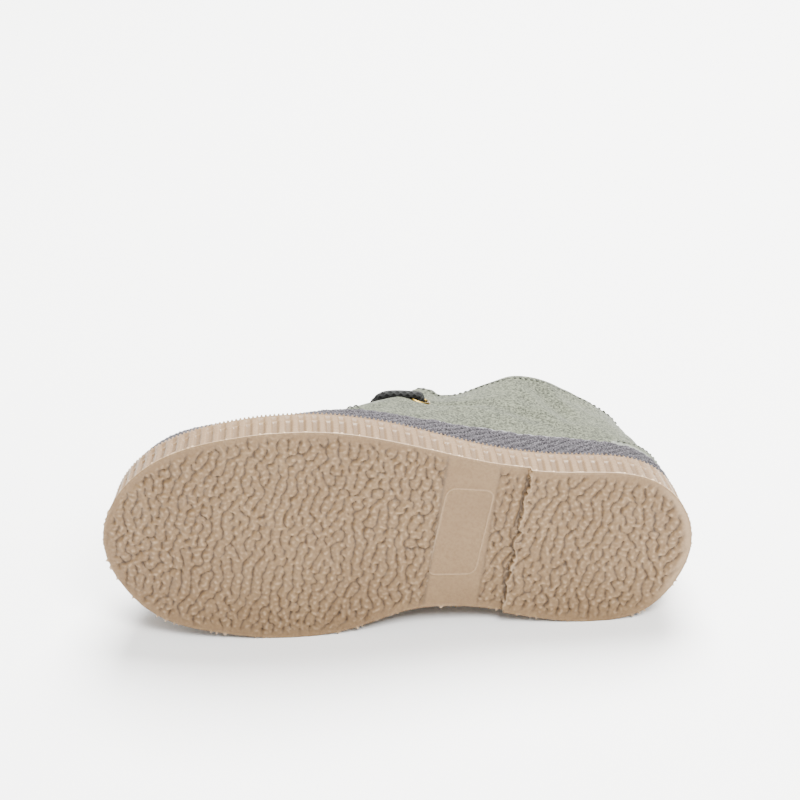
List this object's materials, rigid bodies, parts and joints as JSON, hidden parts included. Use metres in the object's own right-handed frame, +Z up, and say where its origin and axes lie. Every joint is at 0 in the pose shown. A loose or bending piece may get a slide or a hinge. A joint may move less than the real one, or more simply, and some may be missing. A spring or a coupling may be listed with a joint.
{
  "type": "suede ankle boot",
  "caption": "Child's left lace-up suede ankle boot lying on its side, with a tan crepe cup sole, a grey twill band round the upper and brass eyelets.",
  "frame": {"origin": "centre of the box round the boot, at the floor it lies on", "axes": "+X runs along the sole from toe to heel, +Y from the tread towards the collar, +Z up, with the inner side of the boot underneath"},
  "size_m": [0.1884, 0.0846, 0.0733],
  "materials": {
    "crepe_rubber": "matte crepe with moulded ribs",
    "tan_lining": "matte lining leather",
    "sage_suede": "brushed suede nap",
    "grey_twill": "woven twill tape",
    "charcoal_cord": "braided round cord",
    "brass": "satin"
  },
  "bodies": {
    "root": {"outsole": "crepe_rubber", "insole": "tan_lining", "upper": "sage_suede", "rand": "grey_twill", "heel_counter": "sage_suede", "tongue": "sage_suede", "lace": "charcoal_cord", "eyelet_top_outer": "brass", "eyelet_top_inner": "brass", "eyelet_low_outer": "brass", "eyelet_low_inner": "brass"}
  },
  "joints": []
}
